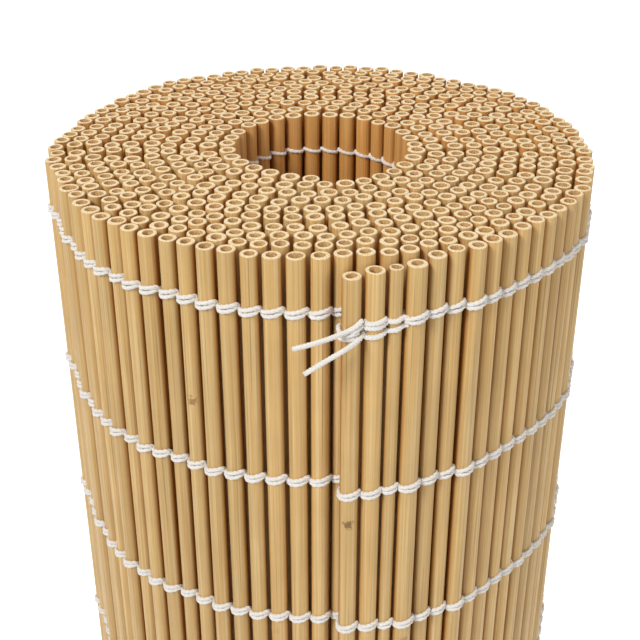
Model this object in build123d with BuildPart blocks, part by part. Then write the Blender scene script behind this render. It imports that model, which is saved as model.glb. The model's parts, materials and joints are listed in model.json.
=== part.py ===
from build123d import *
import os
import random
from collections import namedtuple
from math import atan2, cos, degrees, hypot, pi, radians, sin, tan

os.makedirs("parts", exist_ok=True)

# Driving dimensions of the screening, in millimetres and degrees.
SCREEN_HEIGHT = 900.0
CANE_COUNT = 590
CANE_DIAMETER = 9.7
CANE_SPREAD = 0.45
CANE_STRAY_LIMIT = 1.1
THIN_CANE_DIAMETER = 7.2
THIN_CANE_FROM_END = 2
CUT_SPREAD = 0.55
CUT_STEP = 0.5
CANE_GAP = 0.95
LOOSE_GAP = 1.25
LOOSE_CANES = 10
LOOSE_FROM_END = 79

# The roll: an open core, then turn upon turn, clockwise from above.
CORE_DIAMETER = 86.0
TURN_PITCH = 10.15
TURN_CLEARANCE = 0.5
END_AZIMUTH = -83.7
END_SLIP = 7.0
END_SLIP_CANES = 4
SWING_ACCURACY = 1e-5

# The binding cord, two strands side by side in each row.
CORD_DIAMETER = 2.2
ROW_COUNT = 10
TOP_MARGIN = 29.2
BOTTOM_MARGIN = 14.0
CORD_CLEARANCE = 0.3
CANES_PER_RUN = 4
CANES_BEFORE_SEAM = 2

# The knot of the top row on the end cane, and its two loose ends.
KNOT_LENGTH = 7.5
KNOT_THICKNESS = 5.0
KNOT_SIDES = 6
TAIL_UPPER = [(4.5, 0, 1.6), (-5.3, -1.0, 1.4), (-16.2, -3.0, -0.5), (-26.9, -4.5, -2.9)]
TAIL_LOWER = [(4.6, 0, -1.3), (-4.8, -1.2, -5.4), (-13.4, -2.9, -11.1), (-21.7, -4.3, -17.1)]
TAIL_SIDES = 6
RUN_SHARE = 0.45

# Each cane is a faceted prism whose corners stand a little outside its round section.
CANE_SIDES = 5
CORNER_FACTOR = 1.11
SEAT_FACTOR = CORNER_FACTOR * cos(pi / 2 - 2 * pi / CANE_SIDES)
SEED = 8

Cane = namedtuple("Cane", "x y radius length spin winding")


def cane_radii():
    """Half diameters from the core outwards, uneven as grown canes are, with one thin cane near the end."""
    draw = random.Random(SEED)
    radii = []
    for index in range(CANE_COUNT):
        stray = max(-CANE_STRAY_LIMIT, min(CANE_STRAY_LIMIT, draw.gauss(0, CANE_SPREAD)))
        radii.append((CANE_DIAMETER + stray) / 2)
    radii[-1 - THIN_CANE_FROM_END] = THIN_CANE_DIAMETER / 2
    return radii


def gap_before(index):
    """The gap between a cane and the one wound before it, wider where the mat is bound loosely."""
    from_end = CANE_COUNT - 1 - index
    is_loose = LOOSE_FROM_END <= from_end < LOOSE_FROM_END + LOOSE_CANES
    return LOOSE_GAP if is_loose else CANE_GAP


def roll_up(radii):
    """Wind the canes: each lies beside the last one and swings in until it meets the turn inside it."""
    core = CORE_DIAMETER / 2
    centres = [(core + SEAT_FACTOR * radii[0], 0.0)]
    windings = [0.0]
    for index in range(1, len(radii)):
        last_x, last_y = centres[-1]
        step = radii[index - 1] + gap_before(index) + radii[index]
        seat = SEAT_FACTOR * radii[index] + TURN_CLEARANCE
        outward = atan2(last_y, last_x)
        spiral = core + TURN_PITCH * windings[-1] / (2 * pi) + SEAT_FACTOR * radii[index]
        inside = []
        for (x, y), radius in zip(centres[:-1], radii):
            if hypot(x - last_x, y - last_y) < step + 2 * CANE_DIAMETER:
                inside.append((x, y, SEAT_FACTOR * radius + seat))

        def spot(swing):
            heading = outward - pi / 2 - swing
            return last_x + step * cos(heading), last_y + step * sin(heading)

        def is_free(swing):
            x, y = spot(swing)
            if hypot(x, y) < spiral:
                return False
            return all(hypot(x - cx, y - cy) > room for cx, cy, room in inside)

        free, blocked = -pi / 2, pi / 2
        while blocked - free > SWING_ACCURACY:
            middle = (free + blocked) / 2
            if is_free(middle):
                free = middle
            else:
                blocked = middle
        x, y = spot(free)
        advance = (outward - atan2(y, x)) % (2 * pi)
        centres.append((x, y))
        windings.append(windings[-1] + advance)
    return centres, windings


def turned(point, angle):
    """A point turned about the axis of the roll."""
    x, y = point
    return x * cos(angle) - y * sin(angle), x * sin(angle) + y * cos(angle)


def place_canes():
    """All canes from the core outwards, with the free end at the front and the box of the roll centred."""
    radii = cane_radii()
    centres, windings = roll_up(radii)
    end_x, end_y = centres[-1]
    turn = radians(END_AZIMUTH) - atan2(end_y, end_x)
    centres = [turned(centre, turn) for centre in centres]
    middle = []
    for axis in (0, 1):
        low = min(centre[axis] - radius for centre, radius in zip(centres, radii))
        high = max(centre[axis] + radius for centre, radius in zip(centres, radii))
        middle.append((low + high) / 2)
    draw = random.Random(SEED + 1)
    canes = []
    for index, (x, y) in enumerate(centres):
        spin = degrees(atan2(y, x)) - 90
        from_end = CANE_COUNT - 1 - index
        slip = END_SLIP * max(0.0, 1 - from_end / END_SLIP_CANES)
        stray = max(-2 * CUT_SPREAD, min(0.0, draw.gauss(-CUT_SPREAD, CUT_SPREAD)))
        length = SCREEN_HEIGHT + CUT_STEP * round((stray - slip) / CUT_STEP)
        winding = windings[-1] - windings[index]
        canes.append(Cane(x - middle[0], y - middle[1], radii[index], length, spin, winding))
    return canes, (-middle[0], -middle[1])


canes, axis_point = place_canes()
turn_count = int(canes[0].winding / (2 * pi)) + 1
mat_length = sum(2 * cane.radius + gap_before(index) for index, cane in enumerate(canes))
print("turns", round(canes[0].winding / (2 * pi), 2), "mat length", round(mat_length))


def canes_of_turn(number):
    """The canes of one turn, counted from the outside, the free end first."""
    return [cane for cane in reversed(canes) if int(cane.winding / (2 * pi)) == number - 1]


# Canes, one node for each turn, counted from the outside.
for number in range(1, turn_count + 1):
    members = canes_of_turn(number)
    with BuildPart() as cane_turn:
        for length in sorted({cane.length for cane in members}):
            with BuildSketch() as sections:
                for cane in members:
                    if cane.length == length:
                        corner = CORNER_FACTOR * cane.radius
                        with Locations((cane.x, cane.y)):
                            RegularPolygon(corner, CANE_SIDES, rotation=cane.spin, align=None)
            extrude(amount=length)
    cane_turn.part.label = f"canes_turn_{number:02d}"
    export_step(cane_turn.part, f"parts/canes_turn_{number:02d}.step")


# The binding cord of each row is drawn tight round the outer turn in straight runs.
def meeting(first, second, stand_off):
    """Where two runs meet, each given by its outward normal and its distance from the origin."""
    (ax, ay), a = first
    (bx, by), b = second
    a, b = a + stand_off, b + stand_off
    across = ax * by - ay * bx
    return (a * by - b * ay) / across, (ax * b - bx * a) / across


def on_run(run, point, stand_off):
    """The foot of a point on a run."""
    (nx, ny), distance = run
    lift = distance + stand_off - (point[0] * nx + point[1] * ny)
    return point[0] + lift * nx, point[1] + lift * ny


def run_over(members, normal):
    """The straight run that rests on the proudest of some canes."""
    reach = max(c.x * normal[0] + c.y * normal[1] + CORNER_FACTOR * c.radius for c in members)
    return normal, reach + CORD_CLEARANCE


outer_turn = canes_of_turn(1)
end_cane = outer_turn[0]
end_normal = (cos(radians(END_AZIMUTH)), sin(radians(END_AZIMUTH)))
end_side = (end_normal[1], -end_normal[0])
runs = [run_over([end_cane], end_side)]
last_cane = len(outer_turn) - 1 - CANES_BEFORE_SEAM
for first in range(0, last_cane - CANES_PER_RUN // 2, CANES_PER_RUN):
    middle = outer_turn[min(first + CANES_PER_RUN // 2, last_cane)]
    bearing = atan2(middle.y - axis_point[1], middle.x - axis_point[0])
    under = outer_turn[max(0, first - 1):min(first + CANES_PER_RUN + 2, last_cane + 1)]
    runs.append(run_over(under, (cos(bearing), sin(bearing))))


def cord_edge(stand_off):
    """One side of the cord: from the flank of the end cane round to the seam."""
    edge = [on_run(runs[0], (end_cane.x, end_cane.y), stand_off)]
    for before, after in zip(runs, runs[1:]):
        edge.append(meeting(before, after, stand_off))
    tail_cane = outer_turn[last_cane]
    edge.append(on_run(runs[-1], (tail_cane.x, tail_cane.y), stand_off))
    return edge


cord_outline = cord_edge(0) + cord_edge(CORD_DIAMETER)[::-1]
top_row_height = SCREEN_HEIGHT - TOP_MARGIN
row_pitch = (top_row_height - BOTTOM_MARGIN) / (ROW_COUNT - 1)
for row in range(ROW_COUNT):
    row_height = top_row_height - row * row_pitch
    with BuildPart() as cord_row:
        with BuildSketch(Plane.XY.offset(row_height - CORD_DIAMETER)):
            with BuildLine():
                Polyline(*cord_outline, close=True)
            make_face()
        extrude(amount=2 * CORD_DIAMETER)
    cord_row.part.label = f"cord_row_{row + 1:02d}"
    export_step(cord_row.part, f"parts/cord_row_{row + 1:02d}.step")


# The knot lies across the end cane, just under the cord of the top row.
knot_corner = KNOT_THICKNESS / 2 / cos(pi / KNOT_SIDES)
knot_height = top_row_height - CORD_DIAMETER - CORD_CLEARANCE - knot_corner
knot_run = run_over([end_cane], end_normal)
knot_point = on_run(knot_run, (end_cane.x, end_cane.y), KNOT_THICKNESS / 2)
knot_plane = Plane(origin=(*knot_point, knot_height), x_dir=(0, 0, 1), z_dir=(*end_side, 0))
with BuildPart() as tie_knot:
    with BuildSketch(knot_plane):
        RegularPolygon(knot_corner, KNOT_SIDES)
    extrude(amount=KNOT_LENGTH / 2, both=True)
tie_knot.part.label = "tie_knot"
export_step(tie_knot.part, "parts/tie_knot.step")


# The two loose ends of the knot cross its face and stand free to one side of it.
tail_stand_off = KNOT_THICKNESS / 2 + CORD_CLEARANCE + CORD_DIAMETER / 2
tail_start = Vector(knot_point[0], knot_point[1] - tail_stand_off, knot_height)


def bend_radii(points):
    """The largest arc that the two runs beside each corner leave room for."""
    bends = []
    for before, corner, after in zip(points, points[1:], points[2:]):
        come, go = corner - before, after - corner
        half_turn = radians(come.get_angle(go)) / 2
        bends.append(RUN_SHARE * min(come.length, go.length) / tan(half_turn))
    return bends


for name, offsets in (("tie_end_upper", TAIL_UPPER), ("tie_end_lower", TAIL_LOWER)):
    points = [tail_start + Vector(*offset) for offset in offsets]
    bends = bend_radii(points)
    print(name, "bend radii", [round(bend, 1) for bend in bends])
    with BuildPart() as tie_end:
        with BuildLine() as route:
            FilletPolyline(*points, radius=bends)
        with BuildSketch(Plane(origin=points[0], z_dir=points[1] - points[0])):
            RegularPolygon(CORD_DIAMETER / 2, TAIL_SIDES)
        sweep()
    length = sum(edge.length for edge in route.edges())
    print(name, "length", round(length, 2), "volume", round(tie_end.part.volume, 1))
    tie_end.part.label = name
    export_step(tie_end.part, f"parts/{name}.step")
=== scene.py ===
# %% [markdown]
# # A roll of bamboo cane screening
#
# Garden screening is a mat of thin bamboo canes, bound side by side with rows of white twisted cord and
# rolled up for sale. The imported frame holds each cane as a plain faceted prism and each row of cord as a
# flat band. This lesson reads the places and sizes of those canes from the frame and dresses them: round
# hollow canes with cut ends, cords with a real twist, and the knot that closes the top row.

import json
import math
import random
from collections import namedtuple

import bmesh
import bpy
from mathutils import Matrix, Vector

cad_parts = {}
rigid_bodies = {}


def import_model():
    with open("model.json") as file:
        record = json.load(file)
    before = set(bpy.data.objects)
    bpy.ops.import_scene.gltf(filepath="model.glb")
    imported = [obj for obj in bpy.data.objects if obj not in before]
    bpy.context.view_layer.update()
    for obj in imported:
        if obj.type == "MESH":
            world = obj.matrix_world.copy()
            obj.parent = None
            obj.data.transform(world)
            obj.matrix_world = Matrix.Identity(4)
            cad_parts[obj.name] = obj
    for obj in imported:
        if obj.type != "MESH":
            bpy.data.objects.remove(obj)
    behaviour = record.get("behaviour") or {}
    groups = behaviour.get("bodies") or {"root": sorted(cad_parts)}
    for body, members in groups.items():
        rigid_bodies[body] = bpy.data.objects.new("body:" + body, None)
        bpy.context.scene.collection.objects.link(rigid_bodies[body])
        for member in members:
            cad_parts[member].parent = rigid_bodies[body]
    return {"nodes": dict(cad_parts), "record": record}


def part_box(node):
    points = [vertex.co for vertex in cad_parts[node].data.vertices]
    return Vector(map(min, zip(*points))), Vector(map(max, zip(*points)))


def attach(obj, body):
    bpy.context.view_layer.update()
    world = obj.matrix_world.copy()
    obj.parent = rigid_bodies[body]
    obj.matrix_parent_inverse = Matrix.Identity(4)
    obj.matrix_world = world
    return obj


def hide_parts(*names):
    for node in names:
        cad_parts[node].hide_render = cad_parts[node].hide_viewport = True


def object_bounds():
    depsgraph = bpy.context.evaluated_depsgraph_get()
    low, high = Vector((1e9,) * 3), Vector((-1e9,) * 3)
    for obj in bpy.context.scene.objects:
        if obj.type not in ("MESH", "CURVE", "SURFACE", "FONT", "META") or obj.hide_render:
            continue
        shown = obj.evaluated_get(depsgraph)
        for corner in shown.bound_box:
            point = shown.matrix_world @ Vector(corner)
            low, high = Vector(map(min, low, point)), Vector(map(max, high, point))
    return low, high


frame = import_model()
cad_low, cad_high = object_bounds()
BODY = "root"
MM = 0.001
print("frame box", [round(v, 4) for v in cad_low], [round(v, 4) for v in cad_high])

# %% [markdown]
# ## Where the canes stand
#
# Each turn of the roll is one node that holds many prisms. The places could be worked out again by winding
# the roll, but reading them keeps every cane exactly where its solid is. A merged copy of the node's mesh
# falls into islands, one for each cane, and the bottom corners of an island give its centre. A round section
# as large as the five-sided one of the prism has about 0.87 of the corners' distance as its radius.

# %% Read the canes of each turn
ROUND_SHARE = 0.865
MERGE_DISTANCE = 1e-6
Cane = namedtuple("Cane", "x y radius length")


def canes_of(node):
    """The canes of one turn, read from the islands of its mesh in the order of their first corners."""
    shape = bmesh.new()
    shape.from_mesh(frame["nodes"][node].data)
    bmesh.ops.remove_doubles(shape, verts=shape.verts, dist=MERGE_DISTANCE)
    seen = set()
    found = []
    for start in shape.verts:
        if start in seen:
            continue
        seen.add(start)
        front, island = [start], []
        while front:
            vert = front.pop()
            island.append(vert.co.copy())
            for edge in vert.link_edges:
                other = edge.other_vert(vert)
                if other not in seen:
                    seen.add(other)
                    front.append(other)
        foot = [co for co in island if co.z < MM]
        middle = sum(foot, Vector()) / len(foot)
        corner = max((co - middle).length for co in foot)
        found.append(Cane(middle.x, middle.y, corner * ROUND_SHARE, max(co.z for co in island)))
    shape.free()
    return found


turn_names = sorted(name for name in frame["nodes"] if name.startswith("canes_turn_"))
turns = {name: canes_of(name) for name in turn_names}
outer_name, inner_name = turn_names[0], turn_names[-1]
core_box = frame["record"]["physics"]["openings"][0]["box_m"]
axis = Vector(((core_box[0][0] + core_box[1][0]) / 2, (core_box[0][1] + core_box[1][1]) / 2))
roll_top = cad_high.z
print("turns", len(turns), "canes", sum(len(canes) for canes in turns.values()))

# %% [markdown]
# ## The order along the mat
#
# A cord runs from cane to cane, so the canes of the outer turn are put in order from the free end at the
# front, counter-clockwise as seen from above. The free end is the cane that stands furthest out at the
# front. A cane that lies under it, one turn further in, comes last and not first.

# %% Put the canes of the outer and the inner turn in order
SEAM_WINDOW = 0.10


def bearing(cane):
    return math.atan2(cane.y - axis.y, cane.x - axis.x)


def reach(cane):
    return math.hypot(cane.x - axis.x, cane.y - axis.y)


def in_order(canes, first):
    """Canes from the first one round the roll, counter-clockwise."""
    def along(cane):
        angle = (bearing(cane) - bearing(first)) % (2 * math.pi)
        is_under = reach(cane) < reach(first) - first.radius
        return angle + 2 * math.pi if angle < SEAM_WINDOW and is_under else angle
    return sorted(canes, key=along)


end_cane = min(turns[outer_name], key=lambda cane: cane.y)
outer_canes = in_order(turns[outer_name], end_cane)
inner_canes = in_order(turns[inner_name], min(turns[inner_name], key=reach))
print("outer canes", len(outer_canes), "end cane at", round(end_cane.x, 4), round(end_cane.y, 4))

# %% [markdown]
# ## Colours and nodes
#
# Colours are written as sRGB hex values, as they are read off a screen, and turned to linear by one
# function, because shaders reckon in linear light. Another adds a node, sets its fields and links its
# inputs, for materials and for geometry trees alike, so that each step of a tree is one line.

# %% Colour and node helpers


def linear(hex_colour):
    """An sRGB hex value as linear RGBA."""
    out = []
    for start in (0, 2, 4):
        level = int(hex_colour[start:start + 2], 16) / 255
        out.append(level / 12.92 if level <= 0.04045 else ((level + 0.055) / 1.055) ** 2.4)
    return (*out, 1.0)


def set_stops(ramp, stops):
    """Give a colour ramp its stops, pairs of place and hex colour from low to high."""
    for element, (spot, colour) in zip(ramp.elements, (stops[0], stops[-1])):
        element.position, element.color = spot, linear(colour)
    for spot, colour in stops[1:-1]:
        ramp.elements.new(spot).color = linear(colour)


def add(tree, kind, fields=None, **inputs):
    """Add a node, set its fields, and link or set its inputs: _ is a space in a name, i0 the first input."""
    node = tree.nodes.new(kind)
    for name, value in (fields or {}).items():
        if name == "stops":
            set_stops(node.color_ramp, value)
        else:
            setattr(node, name, value)
    for name, value in inputs.items():
        is_number = name[0] == "i" and name[1:].isdigit()
        socket = node.inputs[int(name[1:])] if is_number else node.inputs[name.replace("_", " ")]
        if isinstance(value, bpy.types.NodeSocket):
            tree.links.new(value, socket)
        else:
            socket.default_value = value
    return node


print("linear value of mid grey", round(linear("808080")[0], 3))

# %% [markdown]
# ## From a tree to a plain mesh
#
# A geometry tree is handy for making a piece, but a finished piece has to be a plain mesh. So each one is
# evaluated once with its inputs set, the result is copied, and the object that carried the tree is removed.

# %% Mesh helpers


def new_object(name, data):
    piece = bpy.data.objects.new(name, data)
    bpy.context.scene.collection.objects.link(piece)
    return piece


def evaluated_mesh(source):
    graph = bpy.context.evaluated_depsgraph_get()
    return bpy.data.meshes.new_from_object(source.evaluated_get(graph))


def socket_in(tree, name, kind, value=None):
    socket = tree.interface.new_socket(name, in_out="INPUT", socket_type=kind)
    if value is not None:
        socket.default_value = value


def shaped_by(name, mesh, tree, settings):
    """A plain mesh object: the given mesh after a geometry tree with these named inputs."""
    source = new_object(name + "_source", mesh)
    modifier = source.modifiers.new("shape", "NODES")
    modifier.node_group = tree
    for item in tree.interface.items_tree:
        if item.item_type == "SOCKET" and item.in_out == "INPUT" and item.name in settings:
            modifier[item.identifier] = settings[item.name]
    made = evaluated_mesh(source)
    bpy.data.objects.remove(source)
    made.name = name
    return new_object(name, made)


# %% [markdown]
# ## Dry bamboo: the skin
#
# The canes are whole bamboo, dried and unvarnished. The skin is smooth, slightly waxy and golden tan, with
# fine fibres along the cane. An image could show that, but noise stretched along the cane does it on any
# cane with no seam: broad bands choose the colour, and fibres, cracks, blotches and the cane's own tint make
# it lighter or darker. Real fibres are finer than this. They are drawn just coarse enough to show.

# %% Colour of the skin
FIBRE_MM = 0.38
BAND_MM = 1.1
CRACK_MM = 0.6
FIBRE_RUN_MM = 110.0
BLOTCH_MM = 30.0
SKIN = [(0.28, "C99F60"), (0.50, "D2AC6E"), (0.74, "DDBF88")]
FIBRE_TONE = {"From_Min": 0.30, "From_Max": 0.70, "To_Min": 0.93, "To_Max": 1.04}
CRACK_TONE = {"From_Min": 0.70, "From_Max": 0.78, "To_Min": 1.00, "To_Max": 0.70}
CANE_TONE = {"To_Min": 0.90, "To_Max": 1.06}
BLOTCH_TONE = {"From_Min": 0.35, "From_Max": 0.65, "To_Min": 0.95, "To_Max": 1.03}


def skin_colour(tree, place):
    """The colour of the skin and the pattern of its fibres."""
    def streaks(width_mm, detail):
        across, along = 1 / (width_mm * MM), 1 / (FIBRE_RUN_MM * MM)
        stretched = add(tree, "ShaderNodeMapping", Vector=place, Scale=(across, across, along)).outputs[0]
        return add(tree, "ShaderNodeTexNoise", Vector=stretched, Scale=1.0, Detail=detail).outputs["Fac"]

    fibres, bands, cracks = streaks(FIBRE_MM, 2.0), streaks(BAND_MM, 1.0), streaks(CRACK_MM, 0.0)
    blotch = add(tree, "ShaderNodeTexNoise", Vector=place, Scale=1 / (BLOTCH_MM * MM), Detail=3.0)
    tint = add(tree, "ShaderNodeAttribute", {"attribute_name": "tint"})
    tone = 1.0
    for value, span in ((fibres, FIBRE_TONE), (cracks, CRACK_TONE), (tint.outputs["Fac"], CANE_TONE),
                        (blotch.outputs["Fac"], BLOTCH_TONE)):
        share = add(tree, "ShaderNodeMapRange", Value=value, **span).outputs[0]
        tone = add(tree, "ShaderNodeMath", {"operation": "MULTIPLY"}, i0=tone, i1=share).outputs[0]
    skin = add(tree, "ShaderNodeValToRGB", {"stops": SKIN}, Fac=bands).outputs["Color"]
    return add(tree, "ShaderNodeVectorMath", {"operation": "SCALE"}, i0=skin, Scale=tone).outputs[0], fibres


print("fibres", FIBRE_MM, "mm wide, bands", BAND_MM, "mm wide")

# %% [markdown]
# ## Dry bamboo: painted shade on the flanks
#
# Between two canes the golden skin looks a warmer brown, because light reaches it only by way of other
# canes. Bounced light gives some of that, and painted shade, a warm brown tint on the flanks, gives the
# rest. How far a spot looks outwards from the middle of the roll, found from its normal, says whether it
# is on a front or on a flank, so the painted shade stays in place from every side.

# %% Painted shade on the flanks
# Painted shade: stops from the inward face over the flank to the front, warm brown at the flank.
FLANK_SHADE = [(0.10, "FFE4C4"), (0.50, "BD8F5E"), (0.63, "E8D0B0"), (0.80, "FFFFFF")]


def painted_flank_shade(tree, place, colour):
    """The colour with painted shade: browner where a cane faces its neighbours."""
    away = add(tree, "ShaderNodeVectorMath", {"operation": "SUBTRACT"}, i0=place, i1=(axis.x, axis.y, 0.0))
    level = add(tree, "ShaderNodeVectorMath", {"operation": "MULTIPLY"}, i0=away.outputs[0],
                i1=(1.0, 1.0, 0.0))
    out = add(tree, "ShaderNodeVectorMath", {"operation": "NORMALIZE"}, i0=level.outputs[0])
    normal = add(tree, "ShaderNodeTexCoord").outputs["Normal"]
    facing = add(tree, "ShaderNodeVectorMath", {"operation": "DOT_PRODUCT"}, i0=out.outputs[0], i1=normal)
    share = add(tree, "ShaderNodeMapRange", Value=facing.outputs["Value"], From_Min=-1.0)
    # Painted shade: the flanks that face the neighbouring canes turn a warm brown.
    flank_shade = add(tree, "ShaderNodeValToRGB", {"stops": FLANK_SHADE}, Fac=share.outputs[0]).outputs["Color"]
    return add(tree, "ShaderNodeVectorMath", {"operation": "MULTIPLY"}, i0=colour, i1=flank_shade).outputs[0]


print("flank stops", len(FLANK_SHADE))

# %% [markdown]
# ## Dry bamboo: blemishes
#
# A few canes near the free end have a small brown scar, such as is left where a twig broke off. Each is a
# spot round a point on its cane. The distance to that point is taken from a place that noise has moved
# about, which frays the edge of the spot.

# %% Scars on the outer canes
SCAR_MM = 1.6
SCAR_FRAY = 7.0 * MM
SCAR_CORE, SCAR_EDGE, SCAR_STRENGTH = 0.25, 0.5, 0.9
Scar = namedtuple("Scar", "cane angle height width colour")
SCARS = [Scar(0, -10, 752, 6.5, "7A5626"), Scar(-8, 10, 814, 6.5, "9A7038"), Scar(3, 0, 671, 6.0, "B58A50")]


def scarred(tree, place, colour):
    """The colour with the scars on it; a scar's angle is in degrees, its height and width in millimetres."""
    fray = Vector((SCAR_FRAY, SCAR_FRAY, SCAR_FRAY))
    noise = add(tree, "ShaderNodeTexNoise", Vector=place, Scale=1 / (SCAR_MM * MM), Detail=2.0)
    ragged = add(tree, "ShaderNodeVectorMath", {"operation": "MULTIPLY_ADD"}, i0=noise.outputs["Color"],
                 i1=fray, i2=place)
    for scar in SCARS:
        cane = outer_canes[scar.cane]
        turn = bearing(cane) + math.radians(scar.angle)
        spot = Vector((cane.x + cane.radius * math.cos(turn), cane.y + cane.radius * math.sin(turn),
                       scar.height * MM))
        gap = add(tree, "ShaderNodeVectorMath", {"operation": "DISTANCE"}, i0=ragged.outputs[0],
                  i1=spot + fray / 2)
        mask = add(tree, "ShaderNodeMapRange", Value=gap.outputs["Value"],
                   From_Min=SCAR_CORE * scar.width * MM, From_Max=SCAR_EDGE * scar.width * MM,
                   To_Min=SCAR_STRENGTH, To_Max=0.0)
        mixed = add(tree, "ShaderNodeMix", {"data_type": "RGBA"}, Factor=mask.outputs[0], i6=colour,
                    i7=linear(scar.colour))
        colour = mixed.outputs[2]
    return colour


print("scars", len(SCARS))

# %% [markdown]
# ## Dry bamboo: sawn ends and bores
#
# The sawn ends are pale and matt, and the bore is browner with pith. The meshes carry two values for this:
# "cut" is 1 on a sawn face, and "bore" is 1 inside the cane. A third, "tint", is a random number for each
# cane, used by the skin. The waxy skin gleams softly at a roughness near 0.46, and the sawn wood hardly at
# all; fine bumps follow the fibres on the skin and the specks on the ends.

# %% Material of the canes
SPECK_MM = 0.8
SAWN = [(0.33, "E2C08A"), (0.62, "FFECC6")]
PITH = [(0.35, "9C7240"), (0.65, "CFA563")]
SKIN_ROUGHNESS, SAWN_ROUGHNESS = 0.46, 0.85
BUMP_STRENGTH, BUMP_DEPTH = 0.25, 0.3 * MM
BAMBOO_IOR = 1.45


def bamboo_material():
    material = bpy.data.materials.new("dry_bamboo")
    material.use_nodes = True
    tree = material.node_tree
    shader = tree.nodes["Principled BSDF"]
    place = add(tree, "ShaderNodeTexCoord").outputs["Object"]
    cut = add(tree, "ShaderNodeAttribute", {"attribute_name": "cut"}).outputs["Fac"]
    bore = add(tree, "ShaderNodeAttribute", {"attribute_name": "bore"}).outputs["Fac"]
    skin, fibres = skin_colour(tree, place)
    # The skin gets painted shade on its flanks, then the scars.
    colour = scarred(tree, place, painted_flank_shade(tree, place, skin))

    specks = add(tree, "ShaderNodeTexNoise", Vector=place, Scale=1 / (SPECK_MM * MM), Detail=2.0).outputs[0]
    for mask, stops in ((cut, SAWN), (bore, PITH)):
        wood = add(tree, "ShaderNodeValToRGB", {"stops": stops}, Fac=specks).outputs["Color"]
        colour = add(tree, "ShaderNodeMix", {"data_type": "RGBA"}, Factor=mask, i6=colour, i7=wood).outputs[2]
    tree.links.new(colour, shader.inputs["Base Color"])

    rough = add(tree, "ShaderNodeMapRange", Value=cut, To_Min=SKIN_ROUGHNESS, To_Max=SAWN_ROUGHNESS)
    tree.links.new(rough.outputs[0], shader.inputs["Roughness"])
    grain = add(tree, "ShaderNodeMix", {"data_type": "FLOAT"}, Factor=cut, i2=fibres, i3=specks)
    bump = add(tree, "ShaderNodeBump", Height=grain.outputs[0], Strength=BUMP_STRENGTH, Distance=BUMP_DEPTH)
    tree.links.new(bump.outputs["Normal"], shader.inputs["Normal"])
    shader.inputs["IOR"].default_value = BAMBOO_IOR
    return material


bamboo = bamboo_material()
print("material", bamboo.name, "nodes", len(bamboo.node_tree.nodes))

# %% [markdown]
# ## Kinds of cane
#
# No two cut ends are alike: bores differ in width, sit off centre, and some are plugged with pith. A
# separate mesh for each of nearly six hundred canes would be a waste. A dozen kinds of cane, each a lathe
# mesh made in code, give that variety, and each place in the roll picks one kind and turns it by a random
# angle. The canes of the outer turn and of the core show their whole length, so they have more rings, a
# slight bend and a faint joint. The others only need their ends.

# %% Build one kind of cane
MEAN_RADIUS = 4.85 * MM
FULL_LENGTH = roll_top
EDGE_ROUND = 0.5 * MM
BORE_ROUND = 0.3 * MM
BORE_DEPTH = 40 * MM
PLUG_DEPTH = 1.8 * MM
BEND = 0.30 * MM
JOINT_SWELL = 0.12 * MM
JOINT_REACH = 3 * MM
JOINT_SPAN = (0.25, 0.75)
BORE_SHARES = (0.52, 0.66)
BORE_SHIFT = 0.11
OVAL = 0.035
BORE_OVALS = (0.02, 0.12)
TAPER = 0.02


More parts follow.
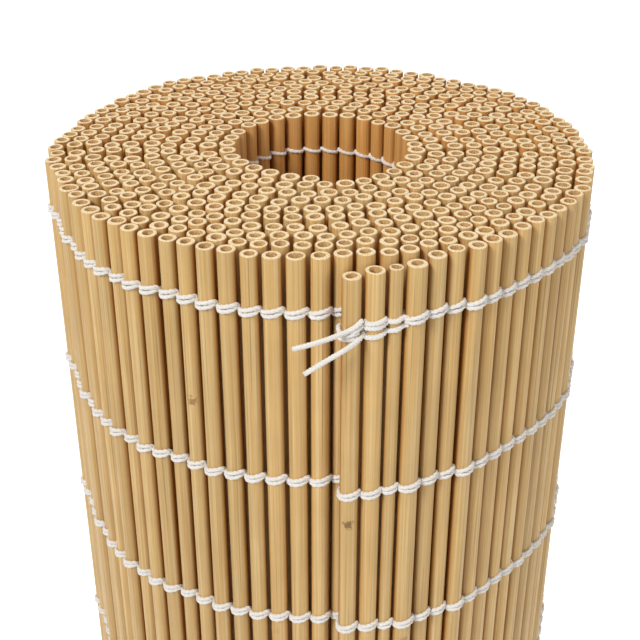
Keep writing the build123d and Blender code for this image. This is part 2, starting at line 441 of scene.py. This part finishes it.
def cane_kind(name, seed, sides, rings, is_plugged):
    """One kind of cane at mean radius and full length, as an object outside the scene."""
    draw = random.Random(seed)
    bore_share = draw.uniform(*BORE_SHARES)
    shift_angle, shift = draw.uniform(0, 2 * math.pi), draw.uniform(0.0, BORE_SHIFT) * MEAN_RADIUS
    oval_angle, oval = draw.uniform(0, math.pi), draw.uniform(0.0, OVAL)
    bore_angle, bore_oval = draw.uniform(0, math.pi), draw.uniform(*BORE_OVALS)
    bend_angle, bend_phase = draw.uniform(0, 2 * math.pi), draw.uniform(0, 2 * math.pi)
    taper = draw.uniform(-TAPER, TAPER)
    joint = draw.uniform(*JOINT_SPAN) * FULL_LENGTH
    depth = PLUG_DEPTH if is_plugged else BORE_DEPTH
    shape = bmesh.new()
    cut_layer = shape.verts.layers.float.new("cut")
    bore_layer = shape.verts.layers.float.new("bore")

    def close_ring(height, cut, bore, spot):
        """A ring of points at one height, each placed by its angle, that sways with the cane."""
        sway = BEND * math.sin(2 * math.pi * height / FULL_LENGTH + bend_phase)
        loop = []
        for side in range(sides):
            angle = 2 * math.pi * side / sides
            radius, off = spot(angle)
            x = radius * math.cos(angle) + off * math.cos(shift_angle) + sway * math.cos(bend_angle)
            y = radius * math.sin(angle) + off * math.sin(shift_angle) + sway * math.sin(bend_angle)
            vert = shape.verts.new((x, y, height))
            vert[cut_layer], vert[bore_layer] = cut, bore
            loop.append(vert)
        return loop

    def skin_ring(height, inset=0.0, cut=0.0):
        swell = JOINT_SWELL * math.exp(-(2 * (height - joint) / JOINT_REACH) ** 2)
        lean = 1 + taper * (height / FULL_LENGTH - 0.5)
        return close_ring(height, cut, 0.0, lambda angle: (
            MEAN_RADIUS * lean * (1 + oval * math.cos(2 * (angle - oval_angle))) + swell - inset, 0.0))

    def bore_ring(height, widen=0.0, cut=0.0, bore=1.0):
        return close_ring(height, cut, bore, lambda angle: (
            MEAN_RADIUS * bore_share * (1 + bore_oval * math.cos(2 * (angle - bore_angle))) + widen, shift))

    # The rings run out of the lower bore, up the skin, over the rounded upper edge and down the upper bore.
    # The last numbers of a ring say how far it counts as sawn, from 0 to 1, and how far as bore.
    heights = [FULL_LENGTH * step / rings for step in range(1, rings)]
    if rings > 1:
        heights += [joint - JOINT_REACH, joint, joint + JOINT_REACH]
    loops = [bore_ring(BORE_DEPTH), bore_ring(0.0, 0.0, 1.0, 0.2), skin_ring(0.0)]
    loops += [skin_ring(height) for height in sorted(heights)]
    loops += [skin_ring(FULL_LENGTH - EDGE_ROUND),
              skin_ring(FULL_LENGTH - 0.25 * EDGE_ROUND, 0.35 * EDGE_ROUND, 0.8),
              skin_ring(FULL_LENGTH, EDGE_ROUND, 1.0),
              bore_ring(FULL_LENGTH, BORE_ROUND, 1.0, 0.0),
              bore_ring(FULL_LENGTH - BORE_ROUND, 0.0, 0.4, 0.8),
              bore_ring(FULL_LENGTH - depth)]
    for low, high in zip(loops, loops[1:]):
        for side in range(sides):
            after = (side + 1) % sides
            face = shape.faces.new((low[side], low[after], high[after], high[side]))
            face.smooth = abs(low[side].co.z - high[side].co.z) > MERGE_DISTANCE
    shape.faces.new(loops[0][::-1])
    shape.faces.new(loops[-1])
    bmesh.ops.recalc_face_normals(shape, faces=shape.faces)
    mesh = bpy.data.meshes.new(name)
    shape.to_mesh(mesh)
    shape.free()
    return bpy.data.objects.new(name, mesh)


print("canes", round(2 * MEAN_RADIUS / MM, 2), "mm across on average,", round(FULL_LENGTH, 3), "m long")

# %% [markdown]
# The kinds are kept in two collections outside the scene, one in full detail and one for canes that show
# only their ends. Two kinds of each dozen are plugged.

# %% Collect the kinds of cane
KINDS = 12
PLUGGED_KINDS = (4, 9)
LONG_VIEW = {"sides": 16, "rings": 8}
END_VIEW = {"sides": 12, "rings": 1}


def kinds_of_cane(name, detail):
    """A collection of cane kinds, kept out of the scene."""
    kinds = bpy.data.collections.new(name)
    for kind in range(KINDS):
        is_plugged = kind in PLUGGED_KINDS
        kinds.objects.link(cane_kind(f"{name}_{kind:02d}", kind + 1, is_plugged=is_plugged, **detail))
    return kinds


fine_kinds = kinds_of_cane("fine_cane", LONG_VIEW)
plain_kinds = kinds_of_cane("plain_cane", END_VIEW)

# %% [markdown]
# ## Canes on their places
#
# Copying canes one by one in a loop would do, but a geometry tree keeps the whole rule in one place: it
# stands one cane on each point of a turn. The points carry the girth and the length of their cane, read from
# the frame, and the tree draws the kind, the turn about the axis and the tint from a fixed seed. It ends in
# real meshes with one material.

# %% The tree that stands canes on points
CANE_SEED = 11


def cane_tree():
    tree = bpy.data.node_groups.new("canes_on_points", "GeometryNodeTree")
    tree.interface.new_socket("Geometry", in_out="OUTPUT", socket_type="NodeSocketGeometry")
    socket_in(tree, "Points", "NodeSocketGeometry")
    socket_in(tree, "Kinds of cane", "NodeSocketCollection")
    socket_in(tree, "Kind count", "NodeSocketInt", KINDS)
    socket_in(tree, "Seed", "NodeSocketInt", CANE_SEED)
    socket_in(tree, "Material", "NodeSocketMaterial")
    given = tree.nodes.new("NodeGroupInput").outputs
    seed = given["Seed"]
    count = given["Kind count"]
    last_kind = add(tree, "ShaderNodeMath", {"operation": "SUBTRACT"}, i0=count, i1=1.0).outputs[0]
    kind = add(tree, "FunctionNodeRandomValue", {"data_type": "INT"}, i4=0, i5=last_kind, Seed=seed)
    spin = add(tree, "FunctionNodeRandomValue", {"data_type": "FLOAT"}, i2=0.0, i3=2 * math.pi, Seed=seed)
    tint = add(tree, "FunctionNodeRandomValue", {"data_type": "FLOAT"}, i2=0.0, i3=1.0, Seed=seed)
    girth, share = (add(tree, "GeometryNodeInputNamedAttribute", {"data_type": "FLOAT"}, Name=name).outputs[0]
                    for name in ("girth", "length_share"))
    marked = add(tree, "GeometryNodeStoreNamedAttribute", {"data_type": "FLOAT", "domain": "POINT"},
                 Geometry=given["Points"], Name="tint", Value=tint.outputs[1])
    shapes = add(tree, "GeometryNodeCollectionInfo", Collection=given["Kinds of cane"],
                 Separate_Children=True, Reset_Children=True)
    size = add(tree, "ShaderNodeCombineXYZ", X=girth, Y=girth, Z=share)
    turn = add(tree, "ShaderNodeCombineXYZ", Z=spin.outputs[1])
    stood = add(tree, "GeometryNodeInstanceOnPoints", Points=marked.outputs[0], Instance=shapes.outputs[0],
                Pick_Instance=True, Instance_Index=kind.outputs[2], Rotation=turn.outputs[0],
                Scale=size.outputs[0])
    real = add(tree, "GeometryNodeRealizeInstances", Geometry=stood.outputs[0])
    dressed = add(tree, "GeometryNodeSetMaterial", Geometry=real.outputs[0], Material=given["Material"])
    add(tree, "NodeGroupOutput", Geometry=dressed.outputs[0])
    return tree


canes_on_points = cane_tree()
print(canes_on_points.name, "nodes", len(canes_on_points.nodes))

# %% [markdown]
# Each turn becomes one piece that stands for its node in the frame. The outer turn and the core take the
# canes in full detail. Afterwards the kinds themselves are no longer needed.

# %% Stand the canes of each turn


def points_of(name, canes):
    """A mesh of points, one for each cane, with its girth and length as shares of the kinds' own."""
    mesh = bpy.data.meshes.new(name + "_points")
    mesh.from_pydata([(cane.x, cane.y, 0.0) for cane in canes], [], [])
    girths = mesh.attributes.new("girth", "FLOAT", "POINT")
    shares = mesh.attributes.new("length_share", "FLOAT", "POINT")
    for index, cane in enumerate(canes):
        girths.data[index].value = cane.radius / MEAN_RADIUS
        shares.data[index].value = cane.length / FULL_LENGTH
    return mesh


for number, (node, canes) in enumerate(turns.items()):
    kinds = fine_kinds if node in (outer_name, inner_name) else plain_kinds
    settings = {"Kinds of cane": kinds, "Seed": CANE_SEED + number, "Material": bamboo}
    name = node.replace("canes_", "bamboo_canes_")
    piece = shaped_by(name, points_of(node, canes), canes_on_points, settings)
    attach(piece, BODY)
    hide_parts(node)
    print(piece.name, "faces", len(piece.data.polygons))

for kinds in (fine_kinds, plain_kinds):
    for kind in list(kinds.objects):
        bpy.data.objects.remove(kind)
    bpy.data.collections.remove(kinds)

# %% [markdown]
# ## White twisted cord
#
# The binding is a cord of bleached cotton, about two millimetres thick, matt and slightly fuzzy. Its twist
# is in the mesh, because bumps alone would look flat where a cord stands out from the canes. The material
# adds fine fibres, a little painted grey shade in their hollows, and a faint sheen from the fuzz.

# %% Material of the cord
YARN_MM = 0.35
# White cotton, with painted shade: greyer where the yarn bump is low.
COTTON_AND_HOLLOW_SHADE = [(0.30, "D9D3CB"), (0.65, "F5F2ED")]
COTTON_ROUGHNESS, COTTON_SHEEN = 0.85, 0.25
YARN_STRENGTH, YARN_DEPTH = 0.5, 0.25 * MM


def cord_material():
    material = bpy.data.materials.new("twisted_cotton_cord")
    material.use_nodes = True
    tree = material.node_tree
    shader = tree.nodes["Principled BSDF"]
    place = add(tree, "ShaderNodeTexCoord").outputs["Object"]
    yarn = add(tree, "ShaderNodeTexNoise", Vector=place, Scale=1 / (YARN_MM * MM), Detail=3.0).outputs["Fac"]
    # Painted shade: the ramp greys the low spots of the same noise that makes the bumps.
    shade = add(tree, "ShaderNodeValToRGB", {"stops": COTTON_AND_HOLLOW_SHADE}, Fac=yarn)
    tree.links.new(shade.outputs["Color"], shader.inputs["Base Color"])
    bump = add(tree, "ShaderNodeBump", Height=yarn, Strength=YARN_STRENGTH, Distance=YARN_DEPTH)
    tree.links.new(bump.outputs["Normal"], shader.inputs["Normal"])
    shader.inputs["Roughness"].default_value = COTTON_ROUGHNESS
    shader.inputs["Sheen Weight"].default_value = COTTON_SHEEN
    return material


cotton = cord_material()
print("material", cotton.name)

# %% [markdown]
# ## The lay of a cord
#
# Plies laid round each other make the cord, and the grooves between them are what the eye sees as twist. A
# geometry tree smooths a route, moves it sideways by a turning offset for each ply, and sweeps a small circle
# along each line. The rows are pulled tight and show two plies. The slacker cord of the knot and its ends
# shows three. Rows far below the camera get longer segments and fewer sides.

# %% The tree that lays a cord
CORD_DIAMETER = 2.2 * MM
LAY_PITCH = 5.2 * MM
Lay = namedtuple("Lay", "plies ply_diameter radius")
BINDING_LAY = Lay(2, 1.72 * MM, 0.36 * MM)
TIE_LAY = Lay(3, 1.42 * MM, 0.62 * MM)
FINE_CORD = {"Material": cotton, "Segment length": 0.75 * MM, "Sides": 6}
PLAIN_CORD = {"Material": cotton, "Segment length": 1.15 * MM, "Sides": 4}
KNOT_CORD = {"Material": cotton, "Segment length": 0.45 * MM, "Sides": 8}


def cord_tree(name, lay):
    tree = bpy.data.node_groups.new(name, "GeometryNodeTree")
    tree.interface.new_socket("Geometry", in_out="OUTPUT", socket_type="NodeSocketGeometry")
    socket_in(tree, "Route", "NodeSocketGeometry")
    socket_in(tree, "Ply diameter", "NodeSocketFloat", lay.ply_diameter)
    socket_in(tree, "Lay radius", "NodeSocketFloat", lay.radius)
    socket_in(tree, "Lay pitch", "NodeSocketFloat", LAY_PITCH)
    socket_in(tree, "Segment length", "NodeSocketFloat", FINE_CORD["Segment length"])
    socket_in(tree, "Sides", "NodeSocketInt", FINE_CORD["Sides"])
    socket_in(tree, "Material", "NodeSocketMaterial")
    given = tree.nodes.new("NodeGroupInput").outputs
    line = add(tree, "GeometryNodeMeshToCurve", Mesh=given["Route"])
    smooth = add(tree, "GeometryNodeCurveSplineType", {"spline_type": "CATMULL_ROM"}, Curve=line.outputs[0])
    even = add(tree, "GeometryNodeResampleCurve", {"mode": "LENGTH"}, Curve=smooth.outputs[0],
               Length=given["Segment length"])
    run = add(tree, "GeometryNodeSplineParameter").outputs["Length"]
    turns_run = add(tree, "ShaderNodeMath", {"operation": "DIVIDE"}, i0=run, i1=given["Lay pitch"])
    ahead = add(tree, "GeometryNodeInputTangent").outputs[0]
    normal = add(tree, "GeometryNodeInputNormal").outputs[0]
    radius = add(tree, "ShaderNodeMath", {"operation": "MULTIPLY"}, i0=given["Ply diameter"], i1=0.5)
    section = add(tree, "GeometryNodeCurvePrimitiveCircle", Resolution=given["Sides"],
                  Radius=radius.outputs[0])
    joined = add(tree, "GeometryNodeJoinGeometry")
    for ply in range(lay.plies):
        angle = add(tree, "ShaderNodeMath", {"operation": "MULTIPLY_ADD"}, i0=turns_run.outputs[0],
                    i1=2 * math.pi, i2=2 * math.pi * ply / lay.plies)
        turned = add(tree, "ShaderNodeVectorRotate", Vector=normal, Axis=ahead, Angle=angle.outputs[0])
        offset = add(tree, "ShaderNodeVectorMath", {"operation": "SCALE"}, i0=turned.outputs[0],
                     Scale=given["Lay radius"])
        moved = add(tree, "GeometryNodeSetPosition", Geometry=even.outputs[0], Offset=offset.outputs[0])
        tube = add(tree, "GeometryNodeCurveToMesh", Curve=moved.outputs[0], Profile_Curve=section.outputs[0],
                   Fill_Caps=True)
        tree.links.new(tube.outputs[0], joined.inputs[0])
    soft = add(tree, "GeometryNodeSetShadeSmooth", Geometry=joined.outputs[0])
    real = add(tree, "GeometryNodeRealizeInstances", Geometry=soft.outputs[0])
    dressed = add(tree, "GeometryNodeSetMaterial", Geometry=real.outputs[0], Material=given["Material"])
    add(tree, "NodeGroupOutput", Geometry=dressed.outputs[0])
    return tree


binding_cord = cord_tree("binding_cord", BINDING_LAY)
tie_cord = cord_tree("tie_cord", TIE_LAY)
print("cord trees", binding_cord.name, BINDING_LAY.plies, "plies,", tie_cord.name, TIE_LAY.plies, "plies")

# %% [markdown]
# ## Routes on the canes
#
# A cord's route is a list of points. Most of them lie on a cane, at an angle from its front and at a height,
# and some lie in the gap between two canes. The cord is pressed a little into the cane, as a tight binding
# is, so that no light shows under it.

# %% Points of a cord on the canes
PRESS = 0.6 * MM


def route_mesh(name, routes):
    """Lines through several lists of points, as one mesh of edges."""
    points, edges = [], []
    for route in routes:
        start = len(points)
        points += route
        edges += [(start + i, start + i + 1) for i in range(len(route) - 1)]
    mesh = bpy.data.meshes.new(name + "_route")
    mesh.from_pydata(points, edges, [])
    return mesh


def directions(cane, inward=False):
    """Outward (or inward) and sideways directions at a cane."""
    out = Vector((cane.x - axis.x, cane.y - axis.y, 0)).normalized()
    side = Vector((-out.y, out.x, 0))
    return (-out if inward else out), side


def on_cane(cane, angle, height, lift=0.0, inward=False):
    """A point of a cord that lies on a cane, at an angle from its front and at a height."""
    out, side = directions(cane, inward)
    radius = cane.radius + CORD_DIAMETER / 2 - PRESS + lift
    spot = Vector((cane.x, cane.y, height))
    return spot + radius * (out * math.cos(angle) + side * math.sin(angle))


def in_gap(cane, follower, height, depth, inward=False):
    """A point between two canes, some way out from the line through their middles."""
    out, _ = directions(cane, inward)
    return Vector(((cane.x + follower.x) / 2, (cane.y + follower.y) / 2, height)) + out * depth


print("cord pressed", round(PRESS / MM, 2), "mm into the canes")

# %% [markdown]
# ## The rows of binding cord
#
# In each row two strands lie side by side across the outer face of every cane. They start low out of the
# gap on the left, climb a little, and dive into the gap on the right, where they change places. A plain band
# would miss the dip at each gap. On the inner face, which shows only in the core, a single strand slants from
# cane to cane.

# %% Routes of the strands
STRAND_SPLAY = 1.34 * MM
SPLAY_RANGE = (0.94, 1.08)
LEAST_SPLAY = 0.3
CLIMB = 1.2 * MM
CORE_CLIMB = 1.1 * MM
CORE_PRESS = 0.35 * MM
GAP_DEPTH = 0.4 * MM
CROSS_ROOM = 0.6 * MM
LOOSE = 0.35 * MM
WRAP_ANGLES = [math.radians(angle) for angle in (-66, -34, 0, 34, 66)]
START_ANGLES = [math.radians(angle) for angle in (-150, -110)]


def pair_strand(canes, levels, upper_first, draw):
    """One of the two strands across the outer face: it changes places with the other one in each gap."""
    over = 1 if upper_first else -1
    points = [on_cane(canes[0], angle, levels[0] + over * STRAND_SPLAY - CLIMB) for angle in START_ANGLES]
    for index, (cane, level) in enumerate(zip(canes, levels)):
        splay = over * STRAND_SPLAY * draw.uniform(*SPLAY_RANGE)
        for angle in WRAP_ANGLES:
            width = splay * (LEAST_SPLAY + (1 - LEAST_SPLAY) * math.cos(angle))
            points.append(on_cane(cane, angle, level + width + CLIMB * math.sin(angle)))
        if index + 1 < len(canes):
            points.append(in_gap(cane, canes[index + 1], (level + levels[index + 1]) / 2,
                                 GAP_DEPTH + over * CROSS_ROOM))
        over = -over
    return points


def core_strand(canes, height, draw):
    """The single strand across the inner face."""
    points = []
    for index, cane in enumerate(canes):
        level = height + draw.uniform(-LOOSE, LOOSE)
        for angle in WRAP_ANGLES:
            points.append(on_cane(cane, angle, level + CORE_CLIMB * math.sin(angle), -CORE_PRESS, True))
        if index + 1 < len(canes):
            points.append(in_gap(cane, canes[index + 1], level, GAP_DEPTH, inward=True))
    return points


print("strands", round(2 * STRAND_SPLAY / MM, 2), "mm apart on a cane")

# %% [markdown]
# No row is quite level: each sags by its own few millimetres near the free end, two sit a little off their
# even spacing, and the strand in the core lies higher than the row outside. The strands of the top row stop
# three canes short of the end, where the knot takes over. The other rows go right up to the end cane.

# %% Make the rows
ROW_SEED = 100
ROW_SAGS = [2.2, 4.2, 0.6, 2.0, 3.0, 1.0, 2.5, 0.5, 1.5, 1.0]
ROW_RISES = {"cord_row_02": -1.2, "cord_row_03": 2.4}
CORE_RISE = 6.5 * MM
SAG_CANES = 4
FINE_ROWS = 3
FIRST_BOUND = 3
row_names = sorted(name for name in frame["nodes"] if name.startswith("cord_row_"))


def row_height(node):
    low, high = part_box(node)
    return (low.z + high.z) / 2 + ROW_RISES.get(node, 0.0) * MM


for number, node in enumerate(row_names):
    draw = random.Random(ROW_SEED + number)
    sag = ROW_SAGS[number % len(ROW_SAGS)] * MM
    levels = []
    for index in range(len(outer_canes)):
        drop = sag * max(0.0, 1 - index / SAG_CANES)
        levels.append(row_height(node) - drop + draw.uniform(-LOOSE, LOOSE))
    first = FIRST_BOUND if number == 0 else 0
    routes = [pair_strand(outer_canes[first:], levels[first:], True, draw),
              pair_strand(outer_canes[first:], levels[first:], False, draw),
              core_strand(inner_canes, row_height(node) + CORE_RISE, draw)]
    name = node.replace("cord_row_", "binding_cord_row_")
    settings = FINE_CORD if number < FINE_ROWS else PLAIN_CORD
    piece = shaped_by(name, route_mesh(name, routes), binding_cord, settings)
    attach(piece, BODY)
    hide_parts(node)
    print(piece.name, "faces", len(piece.data.polygons))

# %% [markdown]
# ## The knot of the top row
#
# On the end cane the cords of the top row are tied off: strands cross its face from the gap on the right
# down to the left, one more lies low across it, and a loop stands proud of its left side. A sculpted lump
# would hide that, so each strand is a route of its own: steps of cane number from the free end, angle from
# the front in degrees, and height above the row and lift off the cane in millimetres.

# %% Strands of the knot
KNOT_EASE = 0.35 * MM
UPPER_STRAND = [(3, -60, -0.6, -1.0), (2, 55, -0.2, 0.0), (2, 0, -0.9, 0.0), (2, -55, -1.4, 0.0),
                (1, 75, -0.6, -1.2), (1, 50, -0.3, 0.0), (1, 0, -1.1, 0.0), (1, -50, -1.6, 0.0),
                (1, -80, -1.4, -1.2)]
MIDDLE_STRAND = [(1, 100, -2.0, -0.8), (1, 55, -2.6, 0.0), (1, 0, -3.5, 0.0), (1, -50, -3.9, 0.0),
                 (1, -80, -3.6, -1.2)]
LOWER_STRAND = [(3, -60, -4.0, -1.0), (2, 55, -4.6, 0.0), (2, 0, -5.5, 0.0), (2, -55, -6.4, 0.0),
                (1, 75, -6.8, -1.2), (1, 50, -7.2, 0.0), (1, 0, -8.3, 0.0), (1, -50, -8.8, 0.0),
                (1, -80, -8.6, -1.2)]
SECOND_CROSS = [(0, 95, -2.6, -0.6), (0, 60, -3.1, 0.2), (0, 14, -4.4, 0.3), (0, -32, -7.4, 0.2),
                (0, -70, -8.2, 0.0), (0, -115, -7.6, 0.0)]
LOW_CROSS = [(0, 95, -8.2, -0.6), (0, 60, -8.6, 0.1), (0, 14, -8.9, 0.1), (0, -32, -9.2, 0.1),
             (0, -70, -9.9, 0.0), (0, -115, -9.6, 0.0)]
SIDE_LOOP = [(0, -135, -6.4, -0.6), (0, -108, -5.4, 0.1), (0, -88, -5.8, 0.3), (0, -64, -6.8, 0.5),
             (0, -38, -7.0, 1.1), (0, -5, -6.4, 0.5), (0, 30, -6.0, -0.4)]
KNOT_STRANDS = (UPPER_STRAND, MIDDLE_STRAND, LOWER_STRAND, SECOND_CROSS, LOW_CROSS, SIDE_LOOP)
top_level = row_height(row_names[0])
end_canes = outer_canes[:FIRST_BOUND + 1]


def wound(steps):
    """A route from steps of cane number, angle in degrees, height and lift in millimetres."""
    route = []
    for number, angle, height, lift in steps:
        lift_off = lift * MM + KNOT_EASE
        route.append(on_cane(end_canes[number], math.radians(angle), top_level + height * MM, lift_off))
    return route


knot_routes = [wound(steps) for steps in KNOT_STRANDS]
knot = shaped_by("knotted_cord", route_mesh("knotted_cord", knot_routes), tie_cord, KNOT_CORD)
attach(knot, BODY)
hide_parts("tie_knot")
print(knot.name, "faces", len(knot.data.polygons))

# %% [markdown]
# ## The two loose ends
#
# Both ends of the cord leave the knot to the left, stiff and nearly straight, and are cut off bare. Their
# routes are those of the frame's own solids, with the first points moved onto the end cane where the ends
# come out of the knot. Points joined by straight runs would look like bent wire, so a NURBS spline with a few
# control points gives the line, and the laid cord follows it.

# %% The lines of the loose ends
TAIL_STAND_OFF = 3.9 * MM
LINE_STEPS = 12
knot_low, knot_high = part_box("tie_knot")
tail_start = (knot_low + knot_high) / 2 + Vector((0, -TAIL_STAND_OFF, 0))


def from_knot(x, y, z):
    return tail_start + Vector((x, y, z)) * MM


UPPER_END = wound([(0, 52, 0.0, 0.4), (0, 20, -1.6, 0.9), (0, -26, -4.6, 1.6)]) + [
    from_knot(-16.8, -3.0, -0.1), from_knot(-27.8, -4.5, -2.3)]
LOWER_END = wound([(0, 84, -6.6, 0.2), (0, 50, -9.0, 1.2)]) + [
    from_knot(-4.8, -1.2, -5.4), from_knot(-13.9, -2.9, -10.2), from_knot(-22.6, -4.3, -15.7)]


def spline_points(name, controls):
    """Points along a smooth line with these control points."""
    curve = bpy.data.curves.new(name + "_line", "CURVE")
    curve.dimensions = "3D"
    curve.resolution_u = LINE_STEPS
    spline = curve.splines.new("NURBS")
    spline.points.add(len(controls) - 1)
    for point, control in zip(spline.points, controls):
        point.co = (*control, 1.0)
    spline.order_u = 3
    spline.use_endpoint_u = True
    line = new_object(name + "_line", curve)
    points = [vert.co.copy() for vert in evaluated_mesh(line).vertices]
    bpy.data.objects.remove(line)
    return points


print("control points", len(UPPER_END), "and", len(LOWER_END))

# %% [markdown]
# Each end becomes a piece of its own: the three-ply cord of the knot, laid along its line.

# %% Make the loose ends
for name, node, controls in (("upper_loose_end", "tie_end_upper", UPPER_END),
                             ("lower_loose_end", "tie_end_lower", LOWER_END)):
    points = spline_points(name, controls)
    piece = shaped_by(name, route_mesh(name, [points]), tie_cord, KNOT_CORD)
    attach(piece, BODY)
    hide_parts(node)

# %% [markdown]
# ## The camera
#
# The photograph looks down on the roll from the front, close enough that its sides converge. The camera's
# place is given in radii of the roll and its lens in pixels of the picture, as they were worked out from the
# rim and the rows of cord.

# %% Camera
CAMERA_RIGHT = 0.7 * MM
CAMERA_BACK = 4.15
CAMERA_UP = 1.56
CAMERA_PITCH = 29.01
FOCAL_PX = 1187
IMAGE_PX = 640
SENSOR_MM = 36.0
NEAREST = 0.01
roll_radius = (max(c.x + c.radius for c in outer_canes) - min(c.x - c.radius for c in outer_canes)) / 2

camera_data = bpy.data.cameras.new("camera")
camera = new_object("camera", camera_data)
camera_data.sensor_width = SENSOR_MM
camera_data.lens = FOCAL_PX / IMAGE_PX * SENSOR_MM
camera_data.clip_start = NEAREST
camera.location = (CAMERA_RIGHT, -CAMERA_BACK * roll_radius, roll_top + CAMERA_UP * roll_radius)
camera.rotation_euler = (math.radians(90 - CAMERA_PITCH), 0, 0)
bpy.context.scene.camera = camera
print("roll radius", round(roll_radius, 4), "camera at", [round(v, 3) for v in camera.location])

# %% [markdown]
# ## Floor and background
#
# The roll stands on a white floor in front of white. More lamps would bleach the canes along with the floor,
# so the floor and the world glow only for rays that come from the camera, a reflection or glass. Close to
# the roll the floor glows less, and there its shadow shows.

# %% White floor and world
FLOOR_SIZE = 60
FLOOR_WHITE = "F4F4F4"
FLOOR_ROUGHNESS = 0.9
SHADOW_NEAR, SHADOW_FAR = 0.25, 0.80
NEAR_GLOW, FAR_GLOW = 0.25, 0.72
AMBIENT = 0.32


def seen_directly(tree):
    """1 for a ray from the camera, a reflection or glass, and 0 for one that only lights the object."""
    path = add(tree, "ShaderNodeLightPath").outputs
    seen = path["Is Camera Ray"]
    for kind in ("Is Glossy Ray", "Is Transmission Ray"):
        seen = add(tree, "ShaderNodeMath", {"operation": "MAXIMUM"}, i0=seen, i1=path[kind]).outputs[0]
    return seen


def white_floor():
    material = bpy.data.materials.new("white_floor")
    material.use_nodes = True
    tree = material.node_tree
    shader = tree.nodes["Principled BSDF"]
    shader.inputs["Base Color"].default_value = linear(FLOOR_WHITE)
    shader.inputs["Roughness"].default_value = FLOOR_ROUGHNESS
    shader.inputs["Emission Color"].default_value = linear("FFFFFF")
    place = add(tree, "ShaderNodeTexCoord").outputs["Object"]
    far = add(tree, "ShaderNodeVectorMath", {"operation": "LENGTH"}, i0=place).outputs["Value"]
    lift = add(tree, "ShaderNodeMapRange", {"interpolation_type": "SMOOTHSTEP"}, Value=far,
               From_Min=SHADOW_NEAR, From_Max=SHADOW_FAR, To_Min=NEAR_GLOW, To_Max=FAR_GLOW).outputs[0]
    glow = add(tree, "ShaderNodeMath", {"operation": "MULTIPLY"}, i0=seen_directly(tree), i1=lift)
    tree.links.new(glow.outputs[0], shader.inputs["Emission Strength"])
    return material


bpy.ops.mesh.primitive_plane_add(size=FLOOR_SIZE)
floor = bpy.context.active_object
floor.name = "floor"
floor.data.materials.append(white_floor())

world = bpy.data.worlds.new("studio")
bpy.context.scene.world = world
world.use_nodes = True
sky = world.node_tree
background = sky.nodes["Background"]
strength = add(sky, "ShaderNodeMapRange", Value=seen_directly(sky), To_Min=AMBIENT, To_Max=1.0)
background.inputs["Color"].default_value = linear("FFFFFF")
sky.links.new(strength.outputs[0], background.inputs["Strength"])
print("floor", FLOOR_SIZE, "m wide, ambient light", AMBIENT)

# %% [markdown]
# ## Lamps
#
# A key lamp at the left front models the round canes, a weaker one fills their right sides, and broad ones
# from above and behind keep the cut ends and the back from going dull. Area lamps are chosen because their
# soft shadows suit a studio.

# %% Soft lamps
Lamp = namedtuple("Lamp", "name place aim size watts")
top_aim = (0, 0, roll_top - 0.1)
LAMPS = [Lamp("key", (-1.5, -1.6, roll_top + 1.7), top_aim, 0.9, 53),
         Lamp("fill", (1.8, -1.4, roll_top + 0.5), top_aim, 1.4, 14),
         Lamp("top", (0.2, 0.5, roll_top + 2.2), top_aim, 1.6, 10),
         Lamp("back", (0.9, 2.2, 0.9), (0, 0, 0.45), 1.4, 16)]

for lamp in LAMPS:
    lamp_data = bpy.data.lights.new(lamp.name, "AREA")
    lamp_data.size = lamp.size
    lamp_data.energy = lamp.watts
    lamp_object = new_object(lamp.name, lamp_data)
    lamp_object.location = lamp.place
    lamp_object.rotation_euler = (Vector(lamp.aim) - Vector(lamp.place)).to_track_quat("-Z", "Y").to_euler()
bpy.context.scene.view_settings.view_transform = "Standard"
print("lamps", [lamp.name for lamp in LAMPS])
